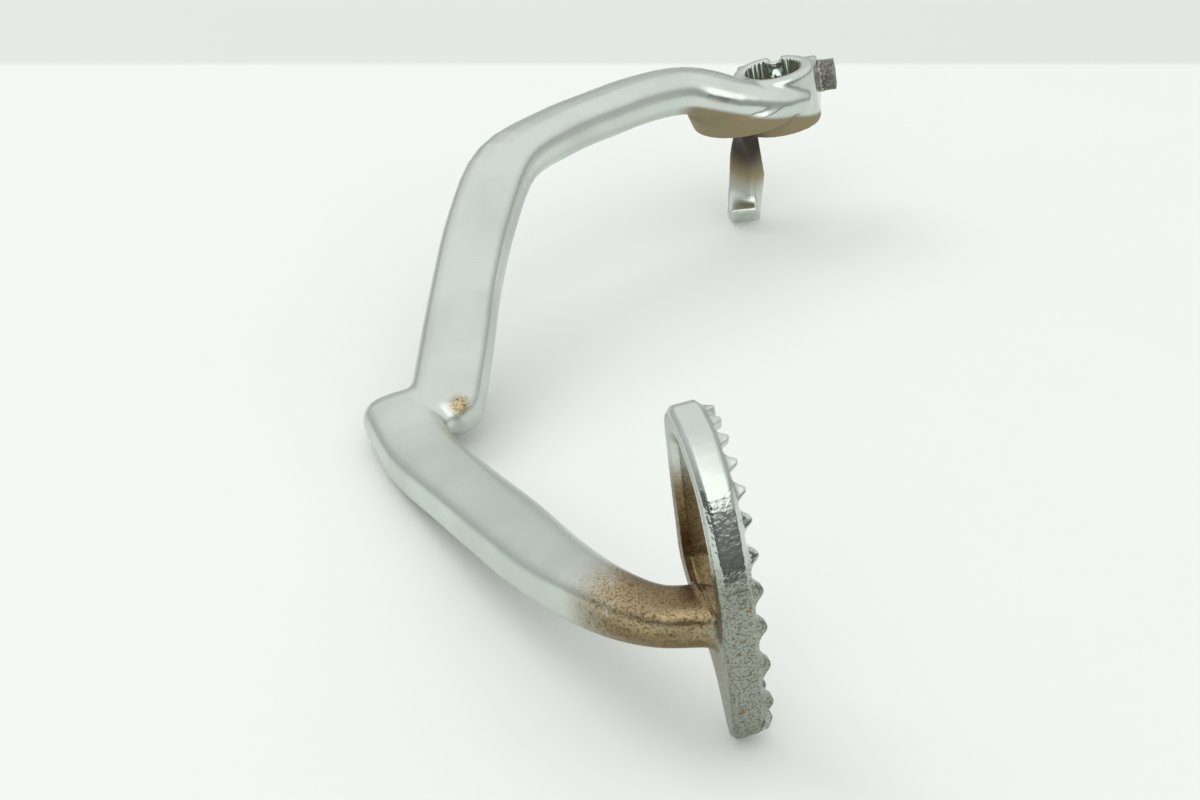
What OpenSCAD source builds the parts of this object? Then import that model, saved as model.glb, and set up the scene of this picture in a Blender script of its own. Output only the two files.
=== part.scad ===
// Rear brake pedal of a motorbike: a forged and chromed arm with a split shaft
// clamp at one end and an open toothed foot pad at the other, lying on its side.
// Frame: origin in the middle of the shaft bore, +Z up from the surface that the
// pedal lies on, +Y from the pad towards the clamp, +X to the tread side.

/* [Resting place] */
// Height of the bore's middle above the surface
bore_rise = 38; // [34:1:44]
// Lean of the bore towards the knee, in degrees
lean = 11.5; // [8:0.5:14]

/* [Shaft clamp] */
// Bore for the brake shaft
bore_d = 16; // [13:0.5:18]
// Wall round the bore
hub_wall = 4; // [3:0.5:6]
// Height of the clamp along the bore
hub_h = 17; // [15:0.5:22]
// Chamfer at the mouths of the bore and round the top of the clamp
hub_chamfer = 0.8; // [0.4:0.1:1.2]
// Width of the slot that lets the clamp close
slot_w = 3.5; // [2:0.5:5]
// Width across the two ears
ears_w = 24; // [22:1:32]
// Diameter of the rounded ears round the pinch bolt
ear_d = 12.5; // [11:0.5:15]
// Turn of the slot and its bolt about the bore, in degrees
clamp_turn = 8; // [0:1:12]
// Metal between the bore and the pinch bolt's hole
ear_web = 0.8; // [0.8:0.1:2]

/* [Pinch bolt] */
// Diameter of the bolt's thread
bolt_d = 6; // [5:0.5:7]
// Width across the flats of the bolt's head
head_af = 8; // [7:0.5:10]
// Height of the bolt's head
head_h = 3.6; // [3:0.5:5]
// Length of the bolt's shank past the washer that sticks out of the far ear
bolt_past = 2; // [1:0.5:4]
// Gap round the bolt in the near ear
bolt_gap = 0.3; // [0.2:0.1:0.5]
// Thickness of the spring washer
washer_t = 1.2; // [1.2:0.1:2]
// Outside diameter of the spring washer
washer_d = 9.5; // [9:0.5:12]

/* [Flange and stop leg] */
// Diameter of the round flange at the arm
flange_d = 34; // [32:1:40]
// Diameter of the flange at its lower face
flange_low_d = 31; // [28:1:36]
// Thickness of the flange
flange_t = 5.5; // [4:0.5:7]
// Height of the flange's lower face below the bore's middle
flange_drop = 4; // [4:0.5:8]
// How far the flange's centre lies off the bore, towards the arm
flange_off_x = 10; // [6:0.5:12]
// How far the flange's centre lies off the bore, towards the pad
flange_off_y = 3; // [0:1:6]
// Width of the stop leg
leg_w = 9.5; // [7:0.5:11]
// Thickness of the stop leg
leg_t = 6.5; // [5:0.5:8]
// How far the leg's foot lies off the bore, towards the arm
leg_off_x = 9; // [6:1:12]
// Reach of the leg's foot from the bore towards the pad
leg_reach = 9; // [6:1:12]

/* [Arm] */
// How far the knee lies off the bore, sideways
knee_out = 88; // [80:1:96]
// How far the knee lies off the bore, towards the pad
knee_reach = 138; // [130:1:150]
// Width of the arm between the clamp and the knee
arm_w = 17; // [14:0.5:19]
// Thickness of the arm between the clamp and the knee
arm_t = 12.5; // [10:0.5:14]
// Width of the arm between the knee and the pad
low_w = 16.5; // [13:0.5:18]
// Thickness of the arm between the knee and the pad
low_t = 11.4; // [9:0.2:14]
// Diameter of the neck that carries the pad
neck_d = 11; // [9:0.5:13]
// Squareness of the arm's section: 2 is an ellipse, 4 nearly a rectangle
arm_square = 2.8; // [2:0.1:4]

/* [Foot pad] */
// How far the pad's middle lies off the bore, sideways
pad_out = 31.5; // [27:0.5:36]
// How far the pad's middle lies off the bore, lengthways
pad_reach = 241.6; // [230:0.2:254]
// Length of the pad
pad_l = 63.8; // [58:0.2:70]
// Width of the pad
pad_w = 27.5; // [26:0.5:32]
// Thickness of the pad's ring from its back to the root of the teeth
pad_t = 6.3; // [5:0.1:8]
// Chamfer along the edges of the pad
pad_chamfer = 1.1; // [0.6:0.1:1.2]
// Width of the pad's rim
rim_w = 5.1; // [4.5:0.1:5.7]
// Height of the teeth
tooth_h = 2.0; // [1.5:0.1:3]
// Number of teeth round the rim
tooth_count = 21; // [16:1:24]
// Where the first tooth stands, as a share of the space between teeth
tooth_start = 0.1; // [0:0.1:0.9]
// How much wider the teeth stand at the lower end than on average
tooth_crowd = 0.36; // [0:0.02:0.4]
// Turn of the tread away from the pad-to-clamp direction, in degrees
pad_turn = 15; // [8:0.5:20]
// Lean of the pad towards the knee, in degrees
pad_lean = 8.5; // [6:0.5:12]

/* [Hidden] */
$fn = 64;
floor_z = -bore_rise;
hub_d = bore_d + 2 * hub_wall;
bolt_y = bore_d / 2 + ear_web + bolt_d / 2 + bolt_gap;
bore_axis = [-sin(lean), 0, cos(lean)];
pad_centre = [-pad_out, -pad_reach, floor_z + pad_l / 2 * cos(pad_lean) + pad_t / 2 * sin(pad_lean)];
steps = 4;
sides = 20;
leg_square = 6;
leg_top_x = 8;
dome_share = 0.385;
cut_past = 0.1;
tooth_root = 0.8;
tooth_gap = 0.2;
tooth_end = pad_chamfer + 0.25;
tooth_wide_at = 0.78;
tooth_round = 0.9;
tooth_flank = 0.385;

// Points along the arm, each as shares of the way out and back, its height,
// and the width and thickness of the arm there
upper = [
    [[-0.045, 0.036, 0.5], 14, 8], [[0.023, 0.058, 1], 17, 9.5],
    [[0.148, 0.083, 3], arm_w, 11.5], [[0.307, 0.094, 6], arm_w, arm_t],
    [[0.455, 0.156, 6.5], arm_w, arm_t], [[0.591, 0.239, 6], arm_w, arm_t],
    [[0.727, 0.333, 5.3], arm_w, arm_t], [[0.869, 0.457, 3], arm_w + 1, arm_t],
    [[0.932, 0.601, -5], arm_w + 1, arm_t], [[0.966, 0.754, -14], arm_w + 0.5, arm_t],
    [[0.983, 0.884, -22], arm_w + 1, arm_t], [[1.000, 1.000, -29.3], arm_w + 1, arm_t]
];
lower = [
    [[-0.195, 0.000, floor_z + 6.5], low_w + 1, low_t],
    [[-0.071, 0.183, floor_z + 6.4], low_w + 0.5, low_t],
    [[0.124, 0.386, -28.6], low_w, low_t], [[0.310, 0.579, -25], low_w, low_t],
    [[0.487, 0.772, -21], low_w - 1.5, low_t - 0.4], [[0.655, 0.922, -17.2], neck_d + 1.5, neck_d + 0.2],
    [[0.814, 1.006, -14.7], neck_d, neck_d - 0.9], [[0.973, 1.018, -13.8], neck_d, neck_d - 0.9]
];
// The leg drops from the flange and bends towards the pad at its foot
leg_bend_z = -23;
leg_line = [
    [[-leg_top_x, leg_t - 6, -flange_drop + 2], leg_w - 1, leg_t], [[-leg_top_x, leg_t - 6, -14], leg_w, leg_t],
    [[-leg_top_x, leg_t - 8, leg_bend_z], leg_w + 0.5, leg_t],
    [[-8.6, -leg_reach + 4.5, leg_bend_z - 8], leg_w, leg_t],
    [[-leg_off_x, -leg_reach, floor_z + leg_t / 2], leg_w, leg_t]
];

function unit(v) = v / norm(v);
function placed(k, from, to) = [
    for (p = k) [
        [from[0] + (to[0] - from[0]) * p[0][0], from[1] + (to[1] - from[1]) * p[0][1], p[0][2]],
        p[1],
        p[2]
    ]
];
function blend(a, b, c, d, t) =
    0.5 * (2 * b + (c - a) * t + (2 * a - 5 * b + 4 * c - d) * t * t + (3 * b - a - 3 * c + d) * t * t * t);
function knot(k, j, i) = let (n = len(k) - 1) j < 0 ? 2 * k[0][i] - k[1][i]
    : j > n ? 2 * k[n][i] - k[n - 1][i] : k[j][i];
function smooth(k, i) = [
    for (j = [0 : len(k) - 2]) for (s = [0 : steps - 1])
        blend(knot(k, j - 1, i), knot(k, j, i), knot(k, j + 1, i), knot(k, j + 2, i), s / steps),
    k[len(k) - 1][i]
];
function power(c, n) = sign(c) * pow(abs(c), 2 / n);
function section(w, t, square) = [
    for (i = [0 : sides - 1])
        [w / 2 * power(cos(360 * i / sides), square), t / 2 * power(sin(360 * i / sides), square)]
];

// Side faces between a row of rings, each ring with the same number of points
function skin_faces(rings, n) = [
    for (j = [0 : rings - 2]) for (i = [0 : n - 1])
        let (a = j * n + i, b = j * n + (i + 1) % n) [a, b, b + n, a + n]
];

// A bar with a rounded section that follows a row of points
module bar(k, square = arm_square, domes = true) {
    at = smooth(k, 0);
    w = smooth(k, 1);
    t = smooth(k, 2);
    n = len(at);
    run = [for (j = [0 : n - 1]) unit(at[min(j + 1, n - 1)] - at[max(j - 1, 0)])];
    function ring_at(j, shrink, push) =
        let (side = unit(cross(run[j], bore_axis)), up = cross(side, run[j]))
        [
            for (p = section(w[j] * shrink, t[j] * shrink, square))
                at[j] + run[j] * push + side * p[0] + up * p[1]
        ];
    angles = domes ? [25 : 25 : 75] : [];
    rings = concat(
        [for (a = angles) ring_at(0, cos(100 - a), -w[0] * dome_share * sin(100 - a))],
        [for (j = [0 : n - 1]) ring_at(j, 1, 0)],
        [for (a = angles) ring_at(n - 1, cos(a), w[n - 1] * dome_share * sin(a))]
    );
    m = len(rings);
    polyhedron(
        [for (r = rings) for (p = r) p],
        concat(
            [[for (i = [sides - 1 : -1 : 0]) i]],
            skin_faces(m, sides),
            [[for (i = [0 : sides - 1]) (m - 1) * sides + i]]
        )
    );
}

module leaned(at, angle) {
    translate(at) rotate([0, -angle, 0]) children();
}

module along_bolt(x) {
    rotate([0, 0, -clamp_turn]) translate([x, bolt_y, 0]) rotate([0, 90, 0]) children();
}

module clamp_body() {
    translate([0, 0, -hub_h / 2]) cylinder(d = hub_d, h = hub_h - hub_chamfer);
    translate([0, 0, hub_h / 2 - hub_chamfer])
        cylinder(d1 = hub_d, d2 = hub_d - 2 * hub_chamfer, h = hub_chamfer);
    along_bolt(-ears_w / 2) cylinder(d = ear_d, h = ears_w);
    rotate([0, 0, -clamp_turn]) translate([-ears_w / 2, 0, -ear_d / 2]) cube([ears_w, bolt_y, ear_d]);
    translate([-flange_off_x, -flange_off_y, -flange_drop])
        cylinder(d1 = flange_low_d, d2 = flange_d, h = flange_t);
}

module clamp_cuts() {
    translate([0, 0, -hub_h / 2 - cut_past]) cylinder(d = bore_d, h = hub_h + 2 * cut_past);
    rotate([0, 0, -clamp_turn]) translate([-slot_w / 2, 0, -hub_h]) cube([slot_w, hub_d + ear_d, 2 * hub_h]);
    along_bolt(0) cylinder(d = bolt_d + 2 * bolt_gap, h = ears_w);
    along_bolt(-ears_w) cylinder(d = bolt_d, h = ears_w);
}

// Points round the pad, as shares of half its width and half its length, from the
// far side over the upper end, and the points of its loop that lie opposite them
pad_line = [
    [1.00, -0.11], [0.97, 0.17], [0.91, 0.41], [0.83, 0.66], [0.72, 0.89], [0.44, 1.00],
    [0.11, 0.99], [-0.20, 0.94], [-0.53, 0.82], [-0.77, 0.68], [-0.91, 0.47], [-0.99, 0.27],
    [-1.00, 0.05], [-0.96, -0.17], [-0.91, -0.39], [-0.84, -0.62], [-0.77, -0.80], [-0.65, -0.93],
    [-0.46, -1.00], [-0.27, -0.92], [-0.16, -0.75], [0.04, -0.57], [0.55, -0.37]
];
loop_line = [
    [0.98, -0.03], [0.95, 0.21], [0.88, 0.47], [0.80, 0.71], [0.69, 0.90], [0.47, 1.00],
    [0.19, 1.00], [-0.06, 0.95], [-0.40, 0.85], [-0.68, 0.72], [-0.87, 0.51], [-0.98, 0.31],
    [-0.99, 0.10], [-0.97, -0.01], [-0.93, -0.08], [-0.87, -0.13], [-0.79, -0.18], [-0.70, -0.21],
    [-0.60, -0.23], [-0.49, -0.24], [-0.33, -0.25], [-0.05, -0.25], [0.50, -0.22]
];

function closed(k) = let (n = len(k)) [
    for (j = [0 : n - 1]) for (s = [0 : 2])
        blend(k[(j + n - 1) % n], k[j], k[(j + 1) % n], k[(j + 2) % n], s / 3)
];
function sized(k, margin) = [for (p = k) [(pad_w / 2 - margin) * p[0], (pad_l / 2 - margin) * p[1]]];
pad_edge = sized(closed(pad_line), 0);
loop_edge = sized(closed(loop_line), rim_w);
pad_steps = len(pad_edge);
function inward(k, i) = let (n = len(k), d = k[(i + 1) % n] - k[(i + n - 1) % n]) [-d[1], d[0]] / norm(d);
function run_to(i, sum = 0) = i == 0 ? sum
    : run_to(i - 1, sum + norm(pad_edge[i % pad_steps] - pad_edge[i - 1]));
pad_runs = [for (i = [0 : pad_steps]) [run_to(i), i]];

// The pad round its open loop: X is the tread's normal, Y the pad's width, Z its length
module pad_body() {
    half = pad_t / 2;
    flat = half - pad_chamfer;
    rings = [
        for (i = [0 : pad_steps - 1]) let (
            a = pad_edge[i],
            b = a + inward(pad_edge, i) * pad_chamfer,
            d = loop_edge[i],
            c = d - inward(loop_edge, i) * pad_chamfer
        ) [
            [flat, a[0], a[1]], [half, b[0], b[1]], [half, c[0], c[1]], [flat, d[0], d[1]],
            [-flat, d[0], d[1]], [-half, c[0], c[1]], [-half, b[0], b[1]], [-flat, a[0], a[1]]
        ]
    ];
    n = len(rings[0]);
    total = pad_steps * n;
    polyhedron(
        [for (r = rings) for (p = r) p],
        [
            for (i = [0 : pad_steps - 1]) for (q = [0 : n - 1])
                let (a = i * n + q, b = i * n + (q + 1) % n) [a, b, (b + n) % total, (a + n) % total]
        ]
    );
}

module teeth() {
    total = pad_runs[pad_steps][0];
    for (i = [0 : tooth_count - 1]) {
        even = (i + tooth_start) / tooth_count;
        turn = 360 * (even - tooth_wide_at);
        share = even + tooth_crowd * sin(turn) / (2 * PI);
        base = total / tooth_count / 2 * (1 + tooth_crowd * cos(turn)) - tooth_gap;
        at = lookup(total * (share - floor(share)), pad_runs);
        here = floor(at);
        next = (here + 1) % pad_steps;
        way = at - here;
        on_edge = pad_edge[here] * (1 - way) + pad_edge[next] * way;
        mid = on_edge + inward(pad_edge, here) * rim_w / 2;
        run = pad_edge[next] - pad_edge[here];
        translate([pad_t / 2 - tooth_root, mid[0], mid[1]])
            rotate([atan2(run[1], run[0]) - 90, 0, 0]) rotate([90, 0, 0])
                translate([0, 0, tooth_end - rim_w / 2]) linear_extrude(rim_w - 2 * tooth_end) tooth(base);
    }
}

module tooth(base) {
    tip = tooth_h + tooth_root;
    polygon([
        [0, -base], [tip - tooth_round, -base * tooth_flank], [tip, -tooth_round / 2],
        [tip, tooth_round / 2], [tip - tooth_round, base * tooth_flank], [0, base]
    ]);
}

module pedal_forging() {
    color("lightgray") {
        difference() {
            union() {
                bar(placed(upper, [0, 0], [-knee_out, -knee_reach]));
                leaned([0, 0, 0], lean) clamp_body();
                bar(leg_line, leg_square, false);
            }
            leaned([0, 0, 0], lean) clamp_cuts();
        }
        bar(placed(lower, [-knee_out, -knee_reach], [-pad_out, -pad_reach]));
        leaned(pad_centre, pad_lean) rotate([0, 0, pad_turn]) {
            pad_body();
            teeth();
        }
    }
}

module pinch_bolt() {
    color("dimgray") leaned([0, 0, 0], lean) {
        along_bolt(ears_w / 2 + washer_t) rotate(30) cylinder(d = head_af / cos(30), h = head_h, $fn = 6);
        along_bolt(-ears_w / 2 - bolt_past) cylinder(d = bolt_d, h = ears_w + washer_t + bolt_past);
    }
}

module spring_washer() {
    color("gray") leaned([0, 0, 0], lean) along_bolt(ears_w / 2) difference() {
        cylinder(d = washer_d, h = washer_t);
        translate([0, 0, -1]) cylinder(d = bolt_d, h = washer_t + 2);
    }
}

pedal_forging();
pinch_bolt();
spring_washer();
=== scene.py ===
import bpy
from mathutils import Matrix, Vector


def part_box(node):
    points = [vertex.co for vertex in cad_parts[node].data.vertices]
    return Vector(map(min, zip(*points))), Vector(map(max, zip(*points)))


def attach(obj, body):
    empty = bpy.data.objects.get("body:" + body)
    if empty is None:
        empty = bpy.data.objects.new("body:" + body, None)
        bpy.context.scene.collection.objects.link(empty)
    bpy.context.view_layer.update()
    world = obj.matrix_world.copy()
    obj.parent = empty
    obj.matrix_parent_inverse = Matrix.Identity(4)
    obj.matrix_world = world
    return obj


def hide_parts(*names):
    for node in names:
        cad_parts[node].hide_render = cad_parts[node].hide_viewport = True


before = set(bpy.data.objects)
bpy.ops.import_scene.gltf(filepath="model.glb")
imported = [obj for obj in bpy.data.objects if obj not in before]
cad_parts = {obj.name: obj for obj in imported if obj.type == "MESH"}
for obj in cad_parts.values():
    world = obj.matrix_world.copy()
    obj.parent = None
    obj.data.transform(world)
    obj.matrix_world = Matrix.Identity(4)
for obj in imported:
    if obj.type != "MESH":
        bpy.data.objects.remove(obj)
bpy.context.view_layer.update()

import math

import bpy
from mathutils import Matrix, Vector

# Camera. It stands in front of the pad and looks along the pedal towards the clamp,
# 28 degrees down. The pad is nearest and the clamp furthest away.
camera = bpy.data.objects.new("camera", bpy.data.cameras.new("camera"))
bpy.context.scene.collection.objects.link(camera)
camera.location = (-0.052, -0.508, 0.173)
camera.rotation_euler = (math.radians(61.6), 0.0, 0.0)
camera.data.lens = 54.0
camera.data.sensor_width = 36.0
camera.data.clip_start = 0.01
bpy.context.scene.camera = camera
bpy.context.scene.view_settings.view_transform = "Standard"

# Forging. The pedal is one steel forging: clamp, flange, stop leg, cranked arm and
# toothed pad. It was chromed all over; the chrome is now pitted, with rust specks
# and a brown film at the neck. The die's parting line runs along the arm.
FORGING_VOXEL = 0.00052
FINE_VOXEL = 0.00042
PAD_VOXEL = 0.00026
KEPT_ARM = 0.41
KEPT_PAD = 0.30
ARM_FILLET = 0.0014
PAD_SINK = 0.0004
PAD_CENTRE = Vector((-0.0315, -0.2416, -0.00598))
PAD_LEAN = Matrix.Rotation(math.radians(-8.5), 4, "Y")
PAD_TWIST = Matrix.Rotation(math.radians(15.0), 4, "Z")
PAD_PLACE = Matrix.Translation(PAD_CENTRE) @ PAD_LEAN @ PAD_TWIST
PAD_HALF_WIDTH = 0.016
PAD_HALF_LENGTH = 0.034
PAD_BACK = -0.00315
BACK_MARGIN = 0.0003
BACK_BLEND_END = 0.001
BACK_BLEND = 0.0009
TREAD_BLOCK_MIDDLE = (0.0070, 0.0, 0.0)
TREAD_BLOCK = (0.010, 0.036, 0.074)
PAD_BLOCK_MIDDLE = (0.0059, 0.0, 0.0017)
PAD_BLOCK = (0.018, 0.034, 0.0667)
TRIM_BLOCK = (0.010, 0.080, 0.010)
TOOTH_ROOT = 0.0033
TOOTH_ROUNDING = 16
SMOOTHED_ANGLE = math.radians(40.0)
NECK_END = Vector((-0.0365, -0.2455, -0.0138))
NECK_REACH = 0.0135
NECK_BLEND = 0.003
BORE_RADIUS = 0.008
BORE_CUT = 0.05
BORE_LEAN = math.radians(11.5)
SPLINES = 36
SPLINE_DEPTH = 0.00045
PARTING_LINE = [
    (-0.1010, -0.1480, -0.0365), (-0.0990, -0.1570, -0.0352), (-0.0962, -0.1655, -0.0340),
    (-0.0880, -0.1817, -0.0308), (-0.0805, -0.1960, -0.0284), (-0.0717, -0.2126, -0.0256),
    (-0.0633, -0.2267, -0.0223), (-0.0557, -0.2369, -0.0199), (-0.0484, -0.2443, -0.0172),
    (-0.0414, -0.2481, -0.0156), (-0.0360, -0.2487, -0.0153),
]
PARTING_RADIUS = 0.00055


def only(piece):
    bpy.ops.object.select_all(action="DESELECT")
    piece.select_set(True)
    bpy.context.view_layer.objects.active = piece
    return piece


def finish_with(piece, kind, **settings):
    only(piece)
    modifier = piece.modifiers.new(kind.lower(), kind)
    for name, value in settings.items():
        setattr(modifier, name, value)
    bpy.ops.object.modifier_apply(modifier=modifier.name)


def weld(piece, distance=1e-6):
    only(piece)
    bpy.ops.object.mode_set(mode="EDIT")
    bpy.ops.mesh.select_all(action="SELECT")
    bpy.ops.mesh.remove_doubles(threshold=distance)
    bpy.ops.mesh.normals_make_consistent(inside=False)
    bpy.ops.object.mode_set(mode="OBJECT")


def copy_of(node, name):
    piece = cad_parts[node].copy()
    piece.data = piece.data.copy()
    piece.name = name
    piece.parent = None
    for key in list(piece.keys()):
        del piece[key]
    bpy.context.scene.collection.objects.link(piece)
    weld(piece)
    return piece


def cut(piece, tool):
    finish_with(piece, "BOOLEAN", operation="DIFFERENCE", object=tool, solver="EXACT")
    bpy.data.objects.remove(tool)


def placed(piece, matrix):
    piece.data.transform(matrix)
    piece.location = (0.0, 0.0, 0.0)
    piece.rotation_euler = (0.0, 0.0, 0.0)
    piece.scale = (1.0, 1.0, 1.0)


def block_on_pad(middle, size, turn=0.0):
    bpy.ops.object.select_all(action="DESELECT")
    bpy.ops.mesh.primitive_cube_add(size=1.0)
    block = bpy.context.object
    turned = Matrix.Rotation(math.radians(turn), 4, "X") @ Matrix.Translation(middle)
    placed(block, PAD_PLACE @ turned @ Matrix.Diagonal((*size, 1.0)))
    return block


# The arm's part: the tread side of the pad is cut away, and the parting ridge is added
forging = copy_of("pedal_forging", "forging")
cut(forging, block_on_pad(TREAD_BLOCK_MIDDLE, TREAD_BLOCK))
curve = bpy.data.curves.new("parting", "CURVE")
curve.dimensions = "3D"
curve.bevel_depth = PARTING_RADIUS
curve.use_fill_caps = True
spline = curve.splines.new("POLY")
spline.points.add(len(PARTING_LINE) - 1)
for point, place in zip(spline.points, PARTING_LINE):
    point.co = (*place, 1.0)
parting = bpy.data.objects.new("parting", curve)
bpy.context.scene.collection.objects.link(parting)
only(parting)
bpy.ops.object.convert(target="MESH")
only(forging)
parting.select_set(True)
bpy.ops.object.join()


def arm_share(point):
    local = PAD_PLACE.inverted() @ point
    beside_pad = abs(local.y) > PAD_HALF_WIDTH or abs(local.z) > PAD_HALF_LENGTH
    if beside_pad or local.x < PAD_BACK - BACK_MARGIN:
        return 1.0
    at_back = min(max((PAD_BACK + BACK_BLEND_END - local.x) / BACK_BLEND, 0.0), 1.0)
    by_neck = min(max((NECK_REACH - (point - NECK_END).length) / NECK_BLEND, 0.0), 1.0)
    return at_back * by_neck


def weigh_arm(piece):
    piece.vertex_groups.clear()
    group = piece.vertex_groups.new(name="arm")
    for vertex in piece.data.vertices:
        group.add([vertex.index], arm_share(vertex.co), "REPLACE")


# Swelling and shrinking the arm fills its inner corners, as the fillets of a forging do
finish_with(forging, "REMESH", mode="VOXEL", voxel_size=FORGING_VOXEL)
weigh_arm(forging)
finish_with(forging, "DISPLACE", strength=ARM_FILLET, mid_level=0.0, vertex_group="arm")
finish_with(forging, "REMESH", mode="VOXEL", voxel_size=FINE_VOXEL)
weigh_arm(forging)
finish_with(forging, "DISPLACE", strength=-ARM_FILLET, mid_level=0.0, vertex_group="arm")
finish_with(forging, "REMESH", mode="VOXEL", voxel_size=FINE_VOXEL)
weigh_arm(forging)
finish_with(forging, "SMOOTH", factor=0.5, iterations=5, vertex_group="arm")

# The bore is cut afresh, with every other corner of its cylinder drawn out as a spline
bpy.ops.object.select_all(action="DESELECT")
bpy.ops.mesh.primitive_cylinder_add(vertices=2 * SPLINES, radius=BORE_RADIUS, depth=BORE_CUT)
bore = bpy.context.object
for vertex in bore.data.vertices:
    turn = round(math.atan2(vertex.co.y, vertex.co.x) / math.tau * 2 * SPLINES)
    if turn % 2:
        vertex.co.xy *= 1.0 + SPLINE_DEPTH / BORE_RADIUS
placed(bore, Matrix.Rotation(-BORE_LEAN, 4, "Y"))
cut(forging, bore)
weigh_arm(forging)
finish_with(
    forging, "DISPLACE", strength=-PAD_SINK, mid_level=0.0, vertex_group="arm", invert_vertex_group=True
)
forging.vertex_groups.clear()
finish_with(forging, "DECIMATE", ratio=KEPT_ARM)

# The pad's own finer mesh, with the last teeth trimmed to the round of its lower end
around_pad = block_on_pad(PAD_BLOCK_MIDDLE, PAD_BLOCK)
pad = copy_of("pedal_forging", "pad")
finish_with(pad, "BOOLEAN", operation="INTERSECT", object=around_pad, solver="EXACT")
bpy.data.objects.remove(around_pad)
for turn, front, end in (
    (0.0, 0.00325, 0.0296), (0.0, 0.0021, 0.0308), (-40.5, 0.0021, 0.02845), (45.0, 0.0021, 0.0182)
):
    middle = (front + TRIM_BLOCK[0] / 2, 0.0, -end - TRIM_BLOCK[2] / 2)
    cut(pad, block_on_pad(middle, TRIM_BLOCK, turn))
finish_with(pad, "REMESH", mode="VOXEL", voxel_size=PAD_VOXEL)
teeth = pad.vertex_groups.new(name="teeth")
for vertex in pad.data.vertices:
    if (PAD_PLACE.inverted() @ vertex.co).x > TOOTH_ROOT:
        teeth.add([vertex.index], 1.0, "REPLACE")
finish_with(pad, "SMOOTH", factor=0.5, iterations=TOOTH_ROUNDING, vertex_group="teeth")
pad.vertex_groups.clear()
finish_with(pad, "SMOOTH", factor=0.5, iterations=2)
finish_with(pad, "DECIMATE", ratio=KEPT_PAD)

only(forging)
pad.select_set(True)
bpy.ops.object.join()
bpy.ops.object.shade_smooth_by_angle(angle=SMOOTHED_ANGLE)


def put(tree, kind, settings=None, sockets=None):
    node = tree.nodes.new(kind)
    for name, value in (settings or {}).items():
        setattr(node, name, value)
    for name, value in (sockets or {}).items():
        if isinstance(value, bpy.types.NodeSocket):
            tree.links.new(value, node.inputs[name])
        else:
            node.inputs[name].default_value = value
    return node


def new_material(name):
    material = bpy.data.materials.new(name)
    material.use_nodes = True
    material.node_tree.nodes.clear()
    tree = material.node_tree
    place = put(tree, "ShaderNodeTexCoord").outputs["Object"]
    return material, tree, place


def noise(tree, place, size, detail=2.0, rough=0.5):
    sockets = {"Vector": place, "Scale": 1.0 / size, "Detail": detail, "Roughness": rough}
    return put(tree, "ShaderNodeTexNoise", None, sockets).outputs["Fac"]


def ramp(tree, value, low, high, bottom=0.0, top=1.0):
    sockets = {"Value": value, "From Min": low, "From Max": high, "To Min": bottom, "To Max": top}
    return put(
        tree, "ShaderNodeMapRange", {"interpolation_type": "SMOOTHSTEP"}, sockets
    ).outputs["Result"]


def threshold(tree, value, level, softness):
    return ramp(tree, value, level, work_out(tree, "ADD", level, softness))


def compared(tree, place, operation, other):
    return put(
        tree, "ShaderNodeVectorMath", {"operation": operation}, {0: place, 1: other}
    ).outputs["Value"]


def near(tree, place, point, inside, outside):
    distance = compared(tree, place, "DISTANCE", point)
    return ramp(tree, distance, inside, outside, bottom=1.0, top=0.0)


def work_out(tree, operation, first, second):
    return put(
        tree, "ShaderNodeMath", {"operation": operation, "use_clamp": True}, {0: first, 1: second}
    ).outputs[0]


def both(tree, first, second):
    return work_out(tree, "MULTIPLY", first, second)


def either(tree, first, second):
    return work_out(tree, "MAXIMUM", first, second)


def rest_of(tree, value):
    return work_out(tree, "SUBTRACT", 1.0, value)


def mixed(tree, amount, first, second):
    return put(
        tree, "ShaderNodeMix", {"data_type": "RGBA"}, {"Factor": amount, 6: first, 7: second}
    ).outputs[2]


def mixed_value(tree, amount, first, second):
    return put(tree, "ShaderNodeMix", None, {"Factor": amount, "A": first, "B": second}).outputs["Result"]


def finish_material(tree, colour, metallic, roughness, bumps):
    normal = None
    for height, strength, distance in bumps:
        sockets = {"Height": height, "Strength": strength, "Distance": distance}
        if normal is not None:
            sockets["Normal"] = normal
        normal = put(tree, "ShaderNodeBump", None, sockets).outputs["Normal"]
    shader = put(
        tree, "ShaderNodeBsdfPrincipled", None,
        {"Base Color": colour, "Metallic": metallic, "Roughness": roughness, "Normal": normal},
    )
    put(tree, "ShaderNodeOutputMaterial", None, {"Surface": shader.outputs[0]})


def coat(piece, material):
    piece.data.materials.clear()
    piece.data.materials.append(material)


CHROME = (0.650, 0.700, 0.655, 1.0)
DULL_CHROME = (0.590, 0.640, 0.590, 1.0)
PAD_CHROME = (0.360, 0.385, 0.335, 1.0)
PAD_SPECK = (0.170, 0.165, 0.120, 1.0)
FILM_AND_CREASE_SHADE = (0.460, 0.380, 0.230, 1.0)
DARK_FILM_AND_SHADE = (0.105, 0.060, 0.018, 1.0)
RUST = (0.230, 0.115, 0.030, 1.0)
BARE_FORGING = (0.260, 0.215, 0.120, 1.0)
PAINTED_LEG_SHADOW = (0.045, 0.037, 0.025, 1.0)
NECK = (-0.0410, -0.2425, -0.0145)
PAD_LOW = (-0.0270, -0.2550, -0.0200)
LOOP_INSIDE = (-0.0350, -0.2360, -0.0040)
KNEE_PIT = (-0.0845, -0.1434, -0.0254)
CLAMP = (0.000, 0.000, 0.000)
FLANGE = (-0.009, -0.005, 0.0)
HUB_AXIS = (0.2, 0.0, 0.98)
LEG_TOP = (-0.0100, -0.0040, -0.0120)

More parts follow.
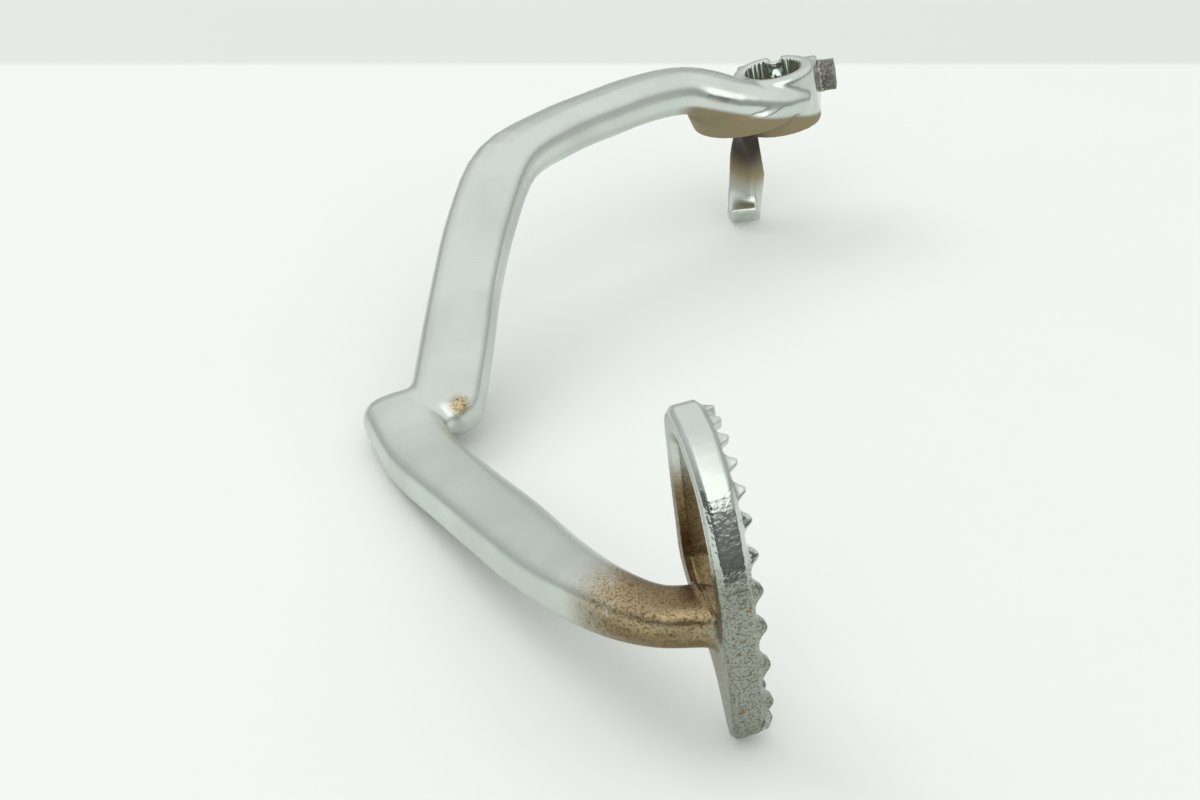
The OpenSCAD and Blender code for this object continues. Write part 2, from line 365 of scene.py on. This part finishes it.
chrome, tree, place = new_material("chromed_forging")
axes = put(tree, "ShaderNodeSeparateXYZ", None, {0: place}).outputs
broad = noise(tree, place, size=0.020, detail=3.0)
patches = noise(tree, place, size=0.004, detail=4.0, rough=0.6)
grain = noise(tree, place, size=0.00050, detail=4.0, rough=0.72)
dots = noise(tree, place, size=0.0010, detail=2.0, rough=0.6)
peel = noise(tree, place, size=0.0009, detail=1.0)

# Where the finish changes: the pad's outer faces, the neck, the knee and the clamp. The knee's crease,
# the underside of the neck and the top of the stop leg get painted shade.
past_neck = ramp(tree, axes["Y"], low=-0.2485, high=-0.2510)
right_of_neck = ramp(tree, axes["X"], low=-0.046, high=-0.042)
on_pad = both(tree, past_neck, right_of_neck)
neck = both(tree, near(tree, place, NECK, inside=0.008, outside=0.022), rest_of(tree, on_pad))
low_pad = near(tree, place, PAD_LOW, inside=0.018, outside=0.028)
loop_inside = near(tree, place, LOOP_INSIDE, inside=0.010, outside=0.019)
# The knee's crease gets a painted shade: it takes the brown film colour and its dark specks.
painted_crease_shade = near(tree, place, KNEE_PIT, inside=0.0008, outside=0.0035)
by_clamp = near(tree, place, CLAMP, inside=0.022, outside=0.045)
hub_height = compared(tree, place, "DOT_PRODUCT", HUB_AXIS)
under_arm = ramp(tree, hub_height, low=-0.0004, high=-0.0018)
bare = both(tree, under_arm, near(tree, place, FLANGE, inside=0.022, outside=0.030))
# The top of the stop leg, under the flange, is painted near black: a painted shadow.
painted_leg_shadow = both(tree, bare, near(tree, place, LEG_TOP, inside=0.005, outside=0.012))
inside = both(tree, loop_inside, rest_of(tree, on_pad))
brown = both(tree, neck, ramp(tree, patches, low=0.10, high=0.45))
brown = either(tree, either(tree, brown, inside), painted_crease_shade)
# The underside of the neck is painted darker with the dark colour: a painted shade. The same colour also
# makes the dark specks of the film.
painted_neck_shade = both(tree, neck, ramp(tree, axes["Z"], low=-0.0130, high=-0.0165))
worn = either(tree, neck, low_pad)

# Specks and rust in the worn parts
fine_grain = threshold(tree, grain, level=0.47, softness=0.12)
brown_dots = threshold(tree, dots, level=0.60, softness=0.06)
brown_specks = both(tree, brown, either(tree, both(tree, fine_grain, 0.75), brown_dots))
pad_specks = both(tree, low_pad, fine_grain)
rust_level = ramp(tree, worn, low=0.0, high=1.0, bottom=0.80, top=0.665)
rust = threshold(tree, dots, rust_level, softness=0.04)
rust_or_bare = either(tree, rust, bare)

base = mixed(tree, ramp(tree, broad, low=0.35, high=0.65), CHROME, DULL_CHROME)
for amount, colour in (
    (low_pad, PAD_CHROME), (pad_specks, PAD_SPECK), (bare, BARE_FORGING), (painted_leg_shadow, PAINTED_LEG_SHADOW),
    (brown, FILM_AND_CREASE_SHADE), (both(tree, brown_specks, 0.85), DARK_FILM_AND_SHADE), (both(tree, painted_neck_shade, 0.60), DARK_FILM_AND_SHADE),
    (both(tree, inside, 0.65), DARK_FILM_AND_SHADE), (rust, RUST),
):
    base = mixed(tree, amount, base, colour)
metallic = rest_of(tree, both(tree, rust_or_bare, 0.7))
roughness = ramp(tree, broad, low=0.3, high=0.7, bottom=0.27, top=0.33)
for amount, polish in ((by_clamp, 0.20), (on_pad, 0.12), (worn, 0.26)):
    roughness = mixed_value(tree, amount, roughness, polish)
roughness = work_out(tree, "ADD", roughness, both(tree, rust_or_bare, 0.30))
finish_material(
    tree, base, metallic, roughness,
    [
        (patches, 0.06, 0.0004), (peel, both(tree, on_pad, 0.35), 0.0003),
        (grain, both(tree, worn, 0.35), 0.0001),
    ],
)
coat(forging, chrome)
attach(forging, "root")
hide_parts("pedal_forging")

# Pinch bolt. An M6 hexagon bolt draws the two ears of the clamp together. It goes
# through the right ear into the tapped left one. Its zinc is gone dull and dirty.
BOLT_EDGE = 0.0003
ZINC = (0.24, 0.25, 0.215, 1.0)
BOLT_DIRT = (0.070, 0.068, 0.050, 1.0)


def break_edges(piece, width):
    finish_with(
        piece, "BEVEL", width=width, segments=2, limit_method="ANGLE", angle_limit=math.radians(40.0)
    )
    only(piece)
    bpy.ops.object.shade_smooth_by_angle(angle=math.radians(35.0))


bolt = copy_of("pinch_bolt", "bolt")
break_edges(bolt, BOLT_EDGE)
dirty_zinc, tree, place = new_material("dirty_bolt_steel")
grime = noise(tree, place, size=0.0012, detail=4.0, rough=0.65)
finish_material(
    tree,
    mixed(tree, ramp(tree, grime, low=0.35, high=0.70), ZINC, BOLT_DIRT),
    ramp(tree, grime, low=0.35, high=0.62, bottom=0.95, top=0.35),
    ramp(tree, grime, low=0.3, high=0.7, bottom=0.35, top=0.65),
    [(grime, 0.4, 0.0001)],
)
coat(bolt, dirty_zinc)
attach(bolt, "root")
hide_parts("pinch_bolt")

# Spring washer. A ring of square steel wire that the bolt's head presses on the right
# ear. It is made as a plain closed ring, of dull steel with dirt on it.
WASHER_EDGE = 0.00015
DULL_STEEL = (0.42, 0.41, 0.38, 1.0)
WASHER_DIRT = (0.10, 0.075, 0.05, 1.0)
washer = copy_of("spring_washer", "washer")
break_edges(washer, WASHER_EDGE)
washer_steel, tree, place = new_material("washer_steel")
grime = noise(tree, place, size=0.0010, detail=4.0, rough=0.65)
finish_material(
    tree,
    mixed(tree, ramp(tree, grime, low=0.40, high=0.65), DULL_STEEL, WASHER_DIRT),
    ramp(tree, grime, low=0.40, high=0.65, bottom=0.95, top=0.40),
    ramp(tree, grime, low=0.3, high=0.7, bottom=0.30, top=0.60),
    [(grime, 0.4, 0.0001)],
)
coat(washer, washer_steel)
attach(washer, "root")
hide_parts("spring_washer")

# Floor. A plain pale table top that the pedal lies on. It turns a little greyer past
# its back edge, and the chrome sees it end in the dark at the front.
FLOOR_SIZE = 8.0
TABLE_BACK = 0.147
TABLE_FRONT = -0.318
TABLE_TOP = (0.760, 0.785, 0.755, 1.0)
PAST_TABLE = (0.640, 0.670, 0.635, 1.0)
FRONT_DARK = (0.02, 0.02, 0.02, 1.0)
MOTTLE = (0.70, 0.70, 0.66, 1.0)
floor_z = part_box("pedal_forging")[0].z
bpy.ops.object.select_all(action="DESELECT")
bpy.ops.mesh.primitive_plane_add(size=FLOOR_SIZE)
floor = bpy.context.object
floor.name = "floor"
placed(floor, Matrix.Translation((0.0, 0.0, floor_z)))
table, tree, place = new_material("table_top")
along = put(tree, "ShaderNodeSeparateXYZ", None, {0: place}).outputs["Y"]
past_edge = ramp(tree, along, low=TABLE_BACK - 0.002, high=TABLE_BACK + 0.004)
tint = mixed(tree, past_edge, TABLE_TOP, PAST_TABLE)
glossy = put(tree, "ShaderNodeLightPath").outputs["Is Glossy Ray"]
front = ramp(tree, along, low=TABLE_FRONT, high=TABLE_FRONT - 0.014)
tint = mixed(tree, both(tree, front, glossy), tint, FRONT_DARK)
mottling = ramp(tree, noise(tree, place, size=0.05, detail=3.0), low=0.3, high=0.7, bottom=0.0, top=0.05)
pores = noise(tree, place, size=0.004, detail=3.0)
finish_material(tree, mixed(tree, mottling, tint, MOTTLE), 0.0, 0.55, [(pores, 0.05, 0.0002)])
floor.data.materials.append(table)

# Light. A large soft window high up behind and to the left, in a pale room with a
# brighter ceiling and a dark front. The chrome shows the room and not the window.
HORIZON = (0.36, 0.38, 0.37, 1.0)
ZENITH = (1.0, 1.0, 1.0, 1.0)
CEILING = Vector((0.0, -0.80, 0.60)).normalized()
CEILING_GLOW = (1.6, 1.6, 1.57, 1.0)
FRONT = Vector((0.05, -1.0, -0.02)).normalized()
DARK_ROOM = (0.015, 0.016, 0.02, 1.0)
BACKDROP = (0.74, 0.77, 0.74, 1.0)
ROOM_STRENGTH = 0.98
WINDOW_PLACE = Vector((-1.7, 1.1, 2.4))
WINDOW_AIM = Vector((-0.05, -0.12, 0.0))
WINDOW_SIZE = 1.8
WINDOW_ENERGY = 24.0
world = bpy.data.worlds.new("room")
bpy.context.scene.world = world
world.use_nodes = True
tree = world.node_tree
tree.nodes.clear()
way = put(tree, "ShaderNodeTexCoord").outputs["Generated"]
height = put(tree, "ShaderNodeSeparateXYZ", None, {0: way}).outputs["Z"]
room = mixed(tree, ramp(tree, height, low=-0.05, high=0.62), HORIZON, ZENITH)
overhead = compared(tree, way, "DOT_PRODUCT", CEILING)
room = mixed(tree, ramp(tree, overhead, low=0.74, high=0.90), room, CEILING_GLOW)
facing = compared(tree, way, "DOT_PRODUCT", FRONT)
room = mixed(tree, ramp(tree, facing, low=0.945, high=0.975), room, DARK_ROOM)
seen = put(tree, "ShaderNodeLightPath").outputs["Is Camera Ray"]
room = mixed(tree, seen, room, BACKDROP)
background = put(tree, "ShaderNodeBackground", None, {"Color": room, "Strength": ROOM_STRENGTH})
put(tree, "ShaderNodeOutputWorld", None, {"Surface": background.outputs[0]})

window = bpy.data.lights.new("window", "AREA")
window.shape = "RECTANGLE"
window.size = WINDOW_SIZE
window.size_y = WINDOW_SIZE
window.energy = WINDOW_ENERGY
window_object = bpy.data.objects.new("window", window)
window_object.location = WINDOW_PLACE
window_object.visible_glossy = False
window_object.rotation_euler = (WINDOW_AIM - WINDOW_PLACE).to_track_quat("-Z", "Y").to_euler()
bpy.context.scene.collection.objects.link(window_object)
